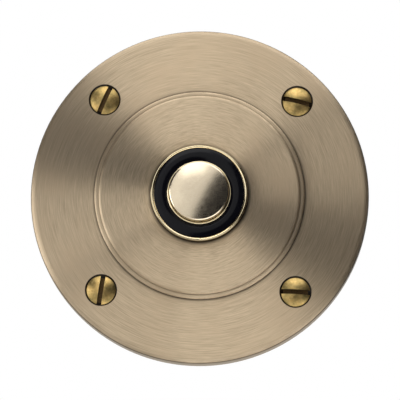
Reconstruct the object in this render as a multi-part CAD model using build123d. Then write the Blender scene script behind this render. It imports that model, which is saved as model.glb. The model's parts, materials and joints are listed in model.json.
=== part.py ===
from build123d import *
import math
import os

# Round brass bell push: a turned rose held by four wood screws, with a panel-mounted push insert.
# Sizes are in millimetres. Pieces are drawn with the wall at z = 0 and the front towards +z,
# then turned at the end so that the front faces -Y, +Z is up and the wall is the plane y = 0.

# Rose
ROSE_DIAMETER = 76.0
ROSE_THICKNESS = 5.0
ROSE_RIM_ROUND = 1.2
ROSE_BACK_CHAMFER = 0.3
LOWER_STEP_DIAMETER = 47.2
LOWER_STEP_RISE = 0.8
UPPER_STEP_INSET = 1.0
UPPER_STEP_RISE = 0.7
LOWER_STEP_ROUND = 0.5
UPPER_STEP_ROUND = 0.6
RECESS_DIAMETER = 42.0
PLATEAU_WALL = 2.7

# Wood screws, No. 6, raised countersunk and slotted, threaded from the wall to the point
SCREW_COUNT = 4
SCREW_CIRCLE_DIAMETER = 61.4
SCREW_FIRST_ANGLE = 45.0
SCREW_THREAD_DIAMETER = 3.5
SCREW_NECK_DIAMETER = 2.6
SCREW_HEAD_DIAMETER = 6.5
SCREW_HEAD_RAISE = 0.75
SCREW_LENGTH = 20.0
SCREW_TIP_LENGTH = 3.5
SCREW_SLOT_WIDTH = 1.05
SCREW_SLOT_DEPTH = 1.2
SCREW_SLOT_ANGLES = (-13.0, 67.0, 82.0, -2.5)
SCREW_HOLE_GAP = 0.2
SCREW_RIM_GAP = 0.35

# Button and its guide
BUTTON_DIAMETER = 13.4
BUTTON_STANDING_HEIGHT = 2.0
BUTTON_DOME = 0.7
BUTTON_EDGE_ROUND = 0.5
BUTTON_WALL = 0.7
BUTTON_TRAVEL = 2.0
BUSH_WALL = 0.33
BUSH_RIM_SHARE = 0.4
BUSH_LENGTH = 3.0
BUSH_PROUD = 0.4
PLUNGER_RIM_OVERLAP = 0.35
PLUNGER_RIM_THICKNESS = 0.8
STEM_DIAMETER = 4.6
STEM_LENGTH = 3.7
SPIGOT_DIAMETER = 2.4
SPIGOT_TAIL = 0.6
SPIGOT_GROOVE_SHARE = 0.75

# Bezel and moulded body
FACE_RING_WIDTH = 3.0
FACE_RING_CROWN = 0.22
FLANGE_THICKNESS = 1.0
BEZEL_WALL = 0.7
BEZEL_NOSE_SHARE = 0.48
BEZEL_LIP_SHARE = 0.42
BEZEL_HEIGHT = 1.9
BEZEL_LEDGE = 0.6
BARREL_WALL = 1.2
BARREL_LEAD = 0.3
THREAD_DEPTH = 0.4

# Nut and lock washer
NUT_THICKNESS = 3.2
NUT_WALL = 3.0
LOCK_WASHER_THICKNESS = 0.6
LOCK_TOOTH_COUNT = 12
LOCK_TOOTH_WIDTH = 2.0
LOCK_RING_SHARE = 0.45
NUT_BEVEL_ANGLE = 30.0

# Springs
RETURN_SPRING_LENGTH = 10.7
RETURN_SPRING_WIRE = 0.6
RETURN_SPRING_TURNS = 6
CONTACT_SPRING_WIRE = 0.36
CONTACT_SPRING_TURNS = 5

# Contacts and terminals
STRIP_THICKNESS = 0.5
STRIP_WIDTH = 3.0
STRIP_BEND_SHARE = 0.8
BRIDGE_THICKNESS = 0.4
PIP_HEIGHT = 0.25
PIP_DIAMETER = 1.2
CLIP_THICKNESS = 0.4
CLIP_DIAMETER = 4.4
CLIP_MOUTH_SHARE = 0.85
CLIP_NOTCH_LENGTH = 1.0
CLIP_NOTCH_WIDTH = 0.45
CLIP_NOTCH_ANGLES = (60, 180, 300)
TERMINAL_SCREW_DIAMETER = 2.5
TERMINAL_SCREW_LENGTH = 4.5
TERMINAL_HEAD_DIAMETER = 4.4
TERMINAL_HEAD_HEIGHT = 1.6
TERMINAL_SLOT_WIDTH = 0.6
TERMINAL_SLOT_DEPTH = 0.8
TERMINAL_EDGE_ROUND = 0.32
TERMINAL_WASHER_DIAMETER = 4.8
TERMINAL_WASHER_THICKNESS = 0.5
INSERT_DIAMETER = 3.8

# Base of the insert
BASE_SKIRT_WALL = 0.8
BASE_FLANGE = 1.0
BASE_SKIN = 0.6
BASE_EDGE_CHAMFER = 0.3
BASE_RIB_THICKNESS = 1.2
BASE_RIB_MARGIN = 0.5
LUG_WIDTH = 4.0
LUG_HEIGHT = 1.4
LUG_REACH = 0.8

# Clearances
SLIDE_GAP = 0.12
RIM_GAP = 0.2
FIT_GAP = 0.05
STOP_GAP = 0.05
SEAT_GAP = 0.02
BOLT_GAP = 0.1
PART_GAP = 0.3

# Radii, worked out from the button outwards
button_radius = BUTTON_DIAMETER / 2
bush_bore = button_radius + SLIDE_GAP
bush_radius = bush_bore + BUSH_WALL
plunger_rim = bush_radius + PLUNGER_RIM_OVERLAP
clip_radius = CLIP_DIAMETER / 2
insert_radius = INSERT_DIAMETER / 2
leg_inside = clip_radius + PART_GAP
leg_outside = leg_inside + STRIP_THICKNESS
terminal_centre = leg_outside + PART_GAP + insert_radius
base_reach = terminal_centre + insert_radius + PART_GAP
cavity_radius = max(plunger_rim + RIM_GAP, base_reach + RIM_GAP)
base_radius = cavity_radius - BOLT_GAP
skirt_bore = base_radius - BASE_SKIRT_WALL
barrel_radius = cavity_radius + BARREL_WALL
thread_root = barrel_radius - THREAD_DEPTH
flange_radius = max(bush_radius + FACE_RING_WIDTH, barrel_radius + BEZEL_LEDGE)
bezel_bore = flange_radius + FIT_GAP
bezel_radius = bezel_bore + BEZEL_WALL
passage_radius = barrel_radius + BOLT_GAP
spring_radius = skirt_bore - PART_GAP - RETURN_SPRING_WIRE
contact_reach = spring_radius - RETURN_SPRING_WIRE / 2 - PART_GAP
pad_end = math.sqrt(contact_reach**2 - (STRIP_WIDTH / 2) ** 2)
lower_step_radius = LOWER_STEP_DIAMETER / 2
upper_step_radius = lower_step_radius - UPPER_STEP_INSET
screw_circle_radius = SCREW_CIRCLE_DIAMETER / 2
head_radius = SCREW_HEAD_DIAMETER / 2
thread_radius = SCREW_THREAD_DIAMETER / 2
neck_radius = SCREW_NECK_DIAMETER / 2

# Levels above the wall, worked out from the rose forwards and then from the button backwards
lower_step_level = ROSE_THICKNESS + LOWER_STEP_RISE
plateau_level = lower_step_level + UPPER_STEP_RISE
ceiling_level = plateau_level - PLATEAU_WALL
washer_level = ceiling_level - LOCK_WASHER_THICKNESS
nut_level = washer_level - NUT_THICKNESS
ledge_level = plateau_level + BEZEL_LEDGE
lip_level = plateau_level + BEZEL_HEIGHT
face_level = ledge_level + FLANGE_THICKNESS
bush_top = face_level + BUSH_PROUD
bush_bottom = bush_top - BUSH_LENGTH
button_edge = bush_top + BUTTON_STANDING_HEIGHT
button_top = button_edge + BUTTON_DOME
rim_top = bush_bottom - STOP_GAP
rim_bottom = rim_top - PLUNGER_RIM_THICKNESS
skirt_top = rim_bottom - BUTTON_TRAVEL - STOP_GAP
floor_level = rim_bottom - RETURN_SPRING_LENGTH
pad_level = floor_level + STRIP_THICKNESS
pip_level = pad_level + BUTTON_TRAVEL + STOP_GAP
bridge_bottom = pip_level + PIP_HEIGHT
bridge_top = bridge_bottom + BRIDGE_THICKNESS
clip_top = bridge_bottom - STOP_GAP
clip_bottom = clip_top - CLIP_THICKNESS
spigot_end = clip_bottom - SPIGOT_TAIL
stem_end = rim_bottom - STEM_LENGTH
screw_tip_depth = TERMINAL_SCREW_LENGTH - STRIP_THICKNESS - TERMINAL_WASHER_THICKNESS
outer_face = floor_level - BASE_SKIN - PART_GAP - screw_tip_depth
foot_level = outer_face - STRIP_THICKNESS
clamp_level = foot_level - TERMINAL_WASHER_THICKNESS
terminal_tip = outer_face + screw_tip_depth
rib_end = clamp_level - TERMINAL_HEAD_HEIGHT - BASE_RIB_MARGIN
barrel_end = outer_face + BASE_FLANGE
lug_bottom = barrel_end + LUG_HEIGHT
lug_top = lug_bottom + LUG_HEIGHT
screw_rim_level = ROSE_THICKNESS - SCREW_RIM_GAP + SEAT_GAP


def turned(corners, rounds):
    """Solid turned about the z axis from corners (radius, height), each with its own rounding."""
    outline = FilletPolyline(*corners, radius=rounds, close=True)
    return revolve(Plane.XZ * make_face(outline), Axis.Z)


def tube(inner, outer, bottom, top):
    """Plain ring or sleeve between two radii and two levels."""
    return turned([(inner, bottom), (outer, bottom), (outer, top), (inner, top)], 0)


def disc(radius, bottom, top):
    """Plain round disc or pin between two levels."""
    return Pos(0, 0, bottom) * extrude(Circle(radius), top - bottom)


def block(x_low, x_high, width, bottom, top):
    """Plain block, centred across y."""
    across = Rectangle(x_high - x_low, width)
    return Pos((x_low + x_high) / 2, 0, bottom) * extrude(across, top - bottom)


def dome_arc(radius, edge_level, rise):
    """Arc of a shallow dome from its edge to its middle."""
    ball = (radius**2 + rise**2) / (2 * rise)
    spread = math.degrees(math.asin(radius / ball))
    return CenterArc((0, edge_level + rise - ball), ball, 90 - spread, spread)


def coil(radius, wire, turns, bottom, top):
    """Compression spring with its two ends ground flat."""
    length = top - bottom
    path = Helix(length / turns, length, radius, center=(0, 0, bottom))
    section = Plane(origin=path @ 0, z_dir=path % 0) * Circle(wire / 2)
    spring = sweep(section, path=path, is_frenet=True)
    return spring & disc(radius + wire, bottom, top)


# Rose: rounded rim, two small steps with rounded edges, flat plateau, hollow back
face_plate = turned(
    [
        (passage_radius, ceiling_level),
        (RECESS_DIAMETER / 2, ceiling_level),
        (RECESS_DIAMETER / 2, 0),
        (ROSE_DIAMETER / 2 - ROSE_BACK_CHAMFER, 0),
        (ROSE_DIAMETER / 2, ROSE_BACK_CHAMFER),
        (ROSE_DIAMETER / 2, ROSE_THICKNESS),
        (lower_step_radius, ROSE_THICKNESS),
        (lower_step_radius, lower_step_level),
        (upper_step_radius, lower_step_level),
        (upper_step_radius, plateau_level),
        (passage_radius, plateau_level),
    ],
    [0, 0, 0, 0, 0, ROSE_RIM_ROUND, 0, LOWER_STEP_ROUND, 0, UPPER_STEP_ROUND, 0],
)
hole_radius = thread_radius + SCREW_HOLE_GAP
sink_radius = head_radius + SCREW_RIM_GAP
screw_hole = turned(
    [
        (0, 0),
        (hole_radius, 0),
        (hole_radius, ROSE_THICKNESS - (sink_radius - hole_radius)),
        (sink_radius, ROSE_THICKNESS),
        (0, ROSE_THICKNESS),
    ],
    0,
)
screw_places = list(PolarLocations(screw_circle_radius, SCREW_COUNT, SCREW_FIRST_ANGLE, rotate=False))
for place in screw_places:
    face_plate -= place * screw_hole

# Wood screws: domed countersunk head, neck through the rose, stud as thick as the thread, gimlet point
wall_depth = -screw_rim_level
screw_outline = dome_arc(head_radius, 0, SCREW_HEAD_RAISE) + Polyline(
    (0, SCREW_HEAD_RAISE),
    (0, -SCREW_LENGTH),
    (thread_radius, SCREW_TIP_LENGTH - SCREW_LENGTH),
    (thread_radius, wall_depth),
    (neck_radius, wall_depth),
    (neck_radius, neck_radius - head_radius),
    (head_radius, 0),
)
screw_blank = revolve(Plane.XZ * make_face(screw_outline), Axis.Z)
slot_cut = block(
    -SCREW_SLOT_WIDTH / 2,
    SCREW_SLOT_WIDTH / 2,
    SCREW_HEAD_DIAMETER + SCREW_SLOT_WIDTH,
    SCREW_HEAD_RAISE - SCREW_SLOT_DEPTH,
    SCREW_HEAD_RAISE + SCREW_SLOT_DEPTH,
)
screws = []
for place, slot_angle in zip(screw_places, SCREW_SLOT_ANGLES):
    screw = screw_blank - Rot(0, 0, slot_angle - 90) * slot_cut
    screws.append(place * Pos(0, 0, screw_rim_level) * screw)
fixing_screws = Compound(children=screws)

# Bezel: turned ring with a rounded nose and an inner ledge that the body clamps
bezel_ring = turned(
    [
        (passage_radius, plateau_level),
        (bezel_radius, plateau_level),
        (bezel_radius, lip_level),
        (bezel_bore, lip_level),
        (bezel_bore, ledge_level),
        (passage_radius, ledge_level),
    ],
    [0, 0, BEZEL_NOSE_SHARE * BEZEL_WALL, BEZEL_LIP_SHARE * BEZEL_WALL, 0, 0],
)

# Moulded body: crowned front ring, threaded barrel, stepped bore, two windows for the base's lugs
bush_seat = bush_radius + SEAT_GAP
crown = SagittaArc((bush_seat, face_level), (flange_radius, face_level), FACE_RING_CROWN)
body_outline = crown + Polyline(
    (flange_radius, face_level),
    (flange_radius, ledge_level),
    (barrel_radius, ledge_level),
    (barrel_radius, ceiling_level),
    (thread_root, ceiling_level - THREAD_DEPTH),
    (thread_root, barrel_end + BARREL_LEAD),
    (thread_root - BARREL_LEAD, barrel_end),
    (cavity_radius, barrel_end),
    (cavity_radius, bush_bottom),
    (bush_seat, bush_bottom),
    (bush_seat, face_level),
)
switch_body = revolve(Plane.XZ * make_face(body_outline), Axis.Z)
window = block(
    -LUG_WIDTH / 2 - BOLT_GAP,
    LUG_WIDTH / 2 + BOLT_GAP,
    2 * barrel_radius,
    lug_bottom - BOLT_GAP,
    lug_top + BOLT_GAP,
)
switch_body -= window

# Guide sleeve with rounded rim
rim_round = BUSH_RIM_SHARE * BUSH_WALL
guide_bush = turned(
    [(bush_bore, bush_bottom), (bush_radius, bush_bottom), (bush_radius, bush_top), (bush_bore, bush_top)],
    [0, 0, rim_round, rim_round],
)

# Button cap: drawn cup with a shallow domed face and a rounded edge
cap_bore = button_radius - BUTTON_WALL
cap_ceiling = button_edge - BUTTON_WALL
cap_outline = dome_arc(button_radius, button_edge, BUTTON_DOME) + Polyline(
    (0, button_top),
    (0, cap_ceiling),
    (cap_bore, cap_ceiling),
    (cap_bore, rim_top),
    (button_radius, rim_top),
    (button_radius, button_edge),
)
cap_face = make_face(cap_outline)
cap_corner = max(cap_face.vertices(), key=lambda corner: corner.X + corner.Y)
cap_face = fillet(cap_corner, BUTTON_EDGE_ROUND)
push_button = revolve(Plane.XZ * cap_face, Axis.Z)

# Plunger: core of the cap, stop rim, stem with a spigot grooved for the clip
spigot_radius = SPIGOT_DIAMETER / 2
groove_radius = SPIGOT_GROOVE_SHARE * spigot_radius
core_top = cap_ceiling - FIT_GAP
core_side = cap_bore - FIT_GAP
plunger = turned(
    [
        (0, spigot_end),
        (spigot_radius, spigot_end),
        (spigot_radius, clip_bottom - SEAT_GAP),
        (groove_radius, clip_bottom - SEAT_GAP),
        (groove_radius, clip_top + SEAT_GAP),
        (spigot_radius, clip_top + SEAT_GAP),
        (spigot_radius, stem_end),
        (STEM_DIAMETER / 2, stem_end),
        (STEM_DIAMETER / 2, rim_bottom),
        (plunger_rim, rim_bottom),
        (plunger_rim, rim_top),
        (core_side, rim_top),
        (core_side, core_top),
        (0, core_top),
    ],
    0,
)

# Clip: open ring pushed into the spigot's groove, with notches between its claws
clip_bore = groove_radius + SEAT_GAP
clip_outline = Circle(clip_radius) - Circle(clip_bore)
clip_outline -= Pos(clip_radius, 0) * Rectangle(CLIP_DIAMETER, 2 * CLIP_MOUTH_SHARE * groove_radius)
notch_place = (clip_radius + clip_bore) / 2
for angle in CLIP_NOTCH_ANGLES:
    notch = Pos(notch_place, 0) * SlotOverall(CLIP_NOTCH_LENGTH, CLIP_NOTCH_WIDTH, rotation=90)
    clip_outline -= Rot(0, 0, angle) * notch
retaining_clip = Pos(0, 0, clip_bottom) * extrude(clip_outline, CLIP_THICKNESS)

# Bridge: sprung bar with two contact pips, loose on the spigot
bridge_length = 2 * pad_end
bridge_plan = SlotOverall(bridge_length, STRIP_WIDTH) - Circle(spigot_radius + FIT_GAP)
contact_bridge = Pos(0, 0, bridge_bottom) * extrude(bridge_plan, BRIDGE_THICKNESS)
pip_radius = PIP_DIAMETER / 2
pip_place = (leg_outside + pad_end) / 2
pip_outline = dome_arc(pip_radius, 0, PIP_HEIGHT) + Polyline((0, PIP_HEIGHT), (0, 0), (pip_radius, 0))
pip = Rot(180, 0, 0) * revolve(Plane.XZ * make_face(pip_outline), Axis.Z)
for side in (-1, 1):
    contact_bridge += Pos(side * pip_place, 0, bridge_bottom) * pip

# Springs
return_spring = coil(spring_radius, RETURN_SPRING_WIRE, RETURN_SPRING_TURNS, floor_level, rim_bottom)
contact_spring_radius = spigot_radius + PART_GAP + CONTACT_SPRING_WIRE / 2
contact_spring = coil(
    contact_spring_radius, CONTACT_SPRING_WIRE, CONTACT_SPRING_TURNS, bridge_top, stem_end
)

# Contact strips: folded from the pad inside, through the base, to the terminal outside
screw_radius = TERMINAL_SCREW_DIAMETER / 2
washer_radius = TERMINAL_WASHER_DIAMETER / 2
strip_bend = STRIP_BEND_SHARE * STRIP_THICKNESS
strip_outline = FilletPolyline(
    (pad_end, pad_level),
    (leg_inside, pad_level),
    (leg_inside, foot_level),
    (terminal_centre, foot_level),
    (terminal_centre, outer_face),
    (leg_outside, outer_face),
    (leg_outside, floor_level),
    (pad_end, floor_level),
    radius=[0, strip_bend, strip_bend, 0, 0, 0, 0, 0],
    close=True,
)
strip = extrude(Plane.XZ * make_face(strip_outline), STRIP_WIDTH / 2, both=True)
strip += Pos(terminal_centre, 0, 0) * disc(washer_radius, foot_level, outer_face)
strip -= Pos(terminal_centre, 0, 0) * disc(screw_radius + FIT_GAP, foot_level, outer_face)
contact_strip_right = strip
contact_strip_left = Rot(0, 0, 180) * strip

# Base: floor, spring skirt that stops the plunger, rear flange, lugs, rib between the terminals
terminal_base = turned(
    [
        (0, outer_face),
        (thread_root - BASE_EDGE_CHAMFER, outer_face),
        (thread_root, outer_face + BASE_EDGE_CHAMFER),
        (thread_root, barrel_end),
        (base_radius, barrel_end),
        (base_radius, skirt_top),
        (skirt_bore, skirt_top),
        (skirt_bore, floor_level),
        (0, floor_level),
    ],
    0,
)
lug_span = 2 * (base_radius + LUG_REACH)
lugs = block(-LUG_WIDTH / 2, LUG_WIDTH / 2, lug_span, lug_bottom, lug_top)
terminal_base += lugs - disc(skirt_bore, lug_bottom, lug_top)
rib = block(-BASE_RIB_THICKNESS / 2, BASE_RIB_THICKNESS / 2, 2 * base_radius, rib_end, outer_face)
terminal_base += rib
relief_radius = spigot_radius + PART_GAP
terminal_base -= disc(relief_radius, spigot_end - BUTTON_TRAVEL - PART_GAP, floor_level)
leg_slot = block(
    leg_inside - FIT_GAP, leg_outside + FIT_GAP, STRIP_WIDTH + 2 * FIT_GAP, outer_face, floor_level
)
insert_hole = disc(insert_radius + SEAT_GAP, outer_face, terminal_tip + PART_GAP)
insert_hole = Pos(terminal_centre, 0, 0) * insert_hole
for half_turn in (0, 180):
    terminal_base -= Rot(0, 0, half_turn) * leg_slot
    terminal_base -= Rot(0, 0, half_turn) * insert_hole

# Terminals: tapped insert, clamp washer and slotted cheese-head screw on each side
insert = Pos(terminal_centre, 0, 0) * tube(screw_radius + FIT_GAP, insert_radius, outer_face, terminal_tip)
terminal_insert_right = insert
terminal_insert_left = Rot(0, 0, 180) * insert
washer = Pos(terminal_centre, 0, 0) * tube(screw_radius + FIT_GAP, washer_radius, clamp_level, foot_level)
terminal_head = TERMINAL_HEAD_DIAMETER / 2
head_end = clamp_level - TERMINAL_HEAD_HEIGHT
terminal_screw = turned(
    [
        (0, head_end),
        (terminal_head, head_end),
        (terminal_head, clamp_level),
        (screw_radius, clamp_level),
        (screw_radius, terminal_tip),
        (0, terminal_tip),
    ],
    [0, TERMINAL_EDGE_ROUND, 0, 0, TERMINAL_EDGE_ROUND, 0],
)
terminal_screw -= block(
    -TERMINAL_HEAD_DIAMETER,
    TERMINAL_HEAD_DIAMETER,
    TERMINAL_SLOT_WIDTH,
    head_end,
    head_end + TERMINAL_SLOT_DEPTH,
)
terminal_screw = Pos(terminal_centre, 0, 0) * terminal_screw
terminal_washers = Compound(children=[washer, Rot(0, 0, 180) * washer])
terminal_screws = Compound(children=[terminal_screw, Rot(0, 0, 180) * terminal_screw])

# Nut: thin hexagon with bevelled corners
nut_flat = thread_root + NUT_WALL
nut_corner = nut_flat / math.cos(math.pi / 6)
nut_bore = thread_root + FIT_GAP
nut_bevel = (nut_corner - nut_flat) * math.tan(math.radians(NUT_BEVEL_ANGLE))
nut_bar = RegularPolygon(nut_flat, 6, major_radius=False)
fixing_nut = Pos(0, 0, nut_level) * extrude(nut_bar, NUT_THICKNESS)
fixing_nut &= turned(
    [
        (nut_bore, nut_level),
        (nut_flat, nut_level),
        (nut_corner, nut_level + nut_bevel),
        (nut_corner, washer_level - nut_bevel),
        (nut_flat, washer_level),
        (nut_bore, washer_level),
    ],
    0,
)

# Lock washer: ring with inner teeth
tooth_root = nut_flat - LOCK_RING_SHARE * NUT_WALL
tooth_tip = barrel_radius + BOLT_GAP
washer_plan = Circle(nut_flat) - Circle(tooth_root)
for tooth in range(LOCK_TOOTH_COUNT):
    reach = Pos((tooth_tip + nut_flat) / 2, 0) * Rectangle(nut_flat - tooth_tip, LOCK_TOOTH_WIDTH)
    turn = Rot(0, 0, 360 * tooth / LOCK_TOOTH_COUNT)
    washer_plan += turn * (reach & Circle(nut_flat))
lock_washer = Pos(0, 0, washer_level) * extrude(washer_plan, LOCK_WASHER_THICKNESS)

pieces = {
    "face_plate": face_plate,
    "fixing_screws": fixing_screws,
    "bezel_ring": bezel_ring,
    "switch_body": switch_body,
    "guide_bush": guide_bush,
    "push_button": push_button,
    "plunger": plunger,
    "retaining_clip": retaining_clip,
    "contact_bridge": contact_bridge,
    "return_spring": return_spring,
    "contact_spring": contact_spring,
    "contact_strip_left": contact_strip_left,
    "contact_strip_right": contact_strip_right,
    "terminal_base": terminal_base,
    "terminal_insert_left": terminal_insert_left,
    "terminal_insert_right": terminal_insert_right,
    "terminal_washers": terminal_washers,
    "terminal_screws": terminal_screws,
    "fixing_nut": fixing_nut,
    "lock_washer": lock_washer,
}

# The front is turned to face -Y and each piece goes to its own file
os.makedirs("parts", exist_ok=True)
for name, piece in pieces.items():
    export_step(Rot(90, 0, 0) * piece, f"parts/{name}.step")
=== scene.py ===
"""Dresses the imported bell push: finishes, screw threads, springs, studio light and camera."""

import json
import logging
import math
from dataclasses import dataclass
from enum import Enum
from typing import ClassVar

import bmesh
import bpy
from mathutils import Euler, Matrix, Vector


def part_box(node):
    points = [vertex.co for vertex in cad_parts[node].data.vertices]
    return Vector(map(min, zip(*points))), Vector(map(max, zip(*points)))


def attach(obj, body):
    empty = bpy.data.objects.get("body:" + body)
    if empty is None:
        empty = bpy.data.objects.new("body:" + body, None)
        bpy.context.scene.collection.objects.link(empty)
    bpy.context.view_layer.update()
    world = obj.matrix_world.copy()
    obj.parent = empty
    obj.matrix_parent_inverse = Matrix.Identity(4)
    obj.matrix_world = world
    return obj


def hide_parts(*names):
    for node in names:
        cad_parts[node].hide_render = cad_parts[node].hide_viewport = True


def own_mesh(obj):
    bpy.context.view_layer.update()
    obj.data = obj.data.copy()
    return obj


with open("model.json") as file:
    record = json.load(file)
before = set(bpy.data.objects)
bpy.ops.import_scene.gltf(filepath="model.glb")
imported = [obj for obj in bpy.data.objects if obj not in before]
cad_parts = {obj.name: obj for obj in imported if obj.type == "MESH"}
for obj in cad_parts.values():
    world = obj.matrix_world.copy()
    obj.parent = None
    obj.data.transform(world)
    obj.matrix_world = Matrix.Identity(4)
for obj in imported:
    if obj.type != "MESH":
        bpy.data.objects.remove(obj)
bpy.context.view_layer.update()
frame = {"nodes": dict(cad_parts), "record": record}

Socket = bpy.types.NodeSocket
Tree = bpy.types.NodeTree
Inputs = dict[str | int, object]

MM = 0.001
SCREW_DIMS = next(mount["dims"] for mount in frame["record"]["mounts"] if mount["name"] == "wall_screws")
# Shares of a place that keep what lies in the plane of the wall, and the way that the button is pushed
IN_WALL = (1.0, 0.0, 1.0)
INTO_WALL = (0.0, 1.0, 0.0)
# Turn from the z axis, on which lathe and helix work, to the front
FACE_FRONT = Euler((math.pi / 2, 0.0, 0.0))
# Points nearer than this are merged, and edges sharper than this stay sharp
MERGED = 0.002 * MM
SHARP = math.radians(35)
# Sockets of a Mix node for colours, told by place because their names repeat
MIX_SHARE, MIX_UNDER, MIX_OVER, MIX_RESULT = 0, 6, 7, 2
# Noise of tool marks, the part of it that runs from the dark tone to the light one, and noise of stains
MARK_NOISE = {"Scale": 1.0, "Detail": 3.0, "Roughness": 0.6}
MARK_SPAN = {"From Min": 0.3, "From Max": 0.7}
STAIN_NOISE = {"Detail": 4.0, "Roughness": 0.65}
WHITE = "#ffffff"
DARK_CARD = "#202124"
log = logging.getLogger("bell_push")


class Body(Enum):
    """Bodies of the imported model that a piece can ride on."""

    ROSE = "rose"
    BUTTON = "button"


class Slot(Enum):
    """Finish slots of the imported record."""

    ANTIQUE_BRASS = "antique_brass"
    SCREW_BRASS = "screw_brass"
    POLISHED_BRASS = "polished_brass"
    BLACK_MOULDING = "black_moulding"
    BUTTON_METAL = "button_metal"
    NATURAL_NYLON = "natural_nylon"
    SPRING_STEEL = "spring_steel"
    CONTACT_METAL = "contact_metal"
    BASE_MOULDING = "base_moulding"
    PLATED_STEEL = "plated_steel"
    NUT_BRASS = "nut_brass"


class Grain(Enum):
    """How the last tool's marks run over a surface."""

    ROUND = "circles about the axis of the button"
    ALONG = "straight lines from left to right"
    EVEN = "no direction"


class Kind(Enum):
    """Kinds of input that a geometry tree takes."""

    SIZE = "NodeSocketFloat"
    COUNT = "NodeSocketInt"
    OBJECT = "NodeSocketObject"
    MATERIAL = "NodeSocketMaterial"


def linear(hex_colour: str) -> tuple[float, float, float, float]:
    """Turns an sRGB hex colour into the linear colour that a shader takes.

    Args:
        hex_colour: Colour as "#rrggbb".
    Returns:
        Linear red, green, blue and an alpha of one.
    """
    parts = []
    for start in (1, 3, 5):
        share = int(hex_colour[start : start + 2], 16) / 255
        parts.append(share / 12.92 if share <= 0.04045 else ((share + 0.055) / 1.055) ** 2.4)
    return parts[0], parts[1], parts[2], 1.0


def add_node(
    tree: Tree, kind: str, inputs: Inputs | None = None, output: str | int = 0, **settings: object
) -> Socket | None:
    """Adds a node, sets its options, and fills or links its inputs.

    Args:
        tree: Shader or geometry tree that takes the node.
        kind: Identifier of the node's type.
        inputs: Value, output socket or list of output sockets for each input, by its name or place.
        output: Name or place of the wanted output.
        settings: Options of the node, by attribute name.
    Returns:
        The wanted output socket, or None from a node that ends its tree.
    """
    node = tree.nodes.new(kind)
    for option, value in settings.items():
        setattr(node, option, value)
    for key, value in (inputs or {}).items():
        sources = value if isinstance(value, list) else [value]
        for source in sources:
            if isinstance(source, Socket):
                tree.links.new(source, node.inputs[key])
            else:
                node.inputs[key].default_value = source
    return node.outputs[output] if node.outputs else None


@dataclass(frozen=True)
class Corner:
    """A corner or an edge of a turned piece, darkened with painted shade and some dark antique patina."""

    radius_mm: float
    reach_mm: float
    share: float


@dataclass(frozen=True)
class ShadeAndPatina:
    """Painted shade, partly dark antique patina, on the front of a turned piece, in its corners and in the
    four countersinks.

    It is full up to the first of sink_mm from a screw's axis and ends at the second, and sets in over
    lead_mm at a corner. It fades between the two of back_lean, as the surface comes to face the wall.
    """

    corners: tuple[Corner, ...]
    colour: str = "#1a1208"
    sink_mm: tuple[float, float] = (3.55, 3.65)
    lead_mm: float = 0.03
    back_lean: tuple[float, float] = (0.1, 0.5)

    def lay(self, tree: Tree, place: Socket, colour: Socket) -> Socket:
        """Paints shade, partly patina, into the colour in the corners and near the screws.

        Args:
            tree: Tree that takes the nodes.
            place: Object coordinates.
            colour: Colour of the clean surface.
        Returns:
            Colour socket with the painted dark rings.
        """
        flat = add_node(tree, "ShaderNodeVectorMath", {0: place, 1: IN_WALL}, operation="MULTIPLY")
        quarter = add_node(tree, "ShaderNodeVectorMath", {0: flat}, operation="ABSOLUTE")
        aside = SCREW_DIMS["pcd_mm"] / 2 * MM * math.sqrt(0.5)
        screw = {0: quarter, 1: (aside, 0.0, aside)}
        away = add_node(tree, "ShaderNodeVectorMath", screw, "Value", operation="DISTANCE")
        full, none = (reach * MM for reach in self.sink_mm)
        share = add_node(tree, "ShaderNodeMapRange", {"Value": away, "From Min": none, "From Max": full})
        radius = add_node(tree, "ShaderNodeVectorMath", {0: flat}, "Value", operation="LENGTH")
        for corner in self.corners:
            foot = corner.radius_mm * MM
            rising = {"Value": radius, "From Min": foot - self.lead_mm * MM, "From Max": foot}
            falling = {"Value": radius, "From Min": foot + corner.reach_mm * MM, "From Max": foot}
            inside = add_node(tree, "ShaderNodeMapRange", rising)
            outside = add_node(tree, "ShaderNodeMapRange", {**falling, "To Max": corner.share})
            ring = add_node(tree, "ShaderNodeMath", {0: inside, 1: outside}, operation="MULTIPLY")
            share = add_node(tree, "ShaderNodeMath", {0: share, 1: ring}, operation="MAXIMUM")
        normal = add_node(tree, "ShaderNodeNewGeometry", output="Normal")
        inward = add_node(tree, "ShaderNodeSeparateXYZ", {0: normal}, "Y")
        full, none = self.back_lean
        front = add_node(tree, "ShaderNodeMapRange", {"Value": inward, "From Min": none, "From Max": full})
        share = add_node(tree, "ShaderNodeMath", {0: share, 1: front}, operation="MULTIPLY")
        tones = {MIX_SHARE: share, MIX_UNDER: colour, MIX_OVER: linear(self.colour)}
        return add_node(tree, "ShaderNodeMix", tones, MIX_RESULT, data_type="RGBA")


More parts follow.
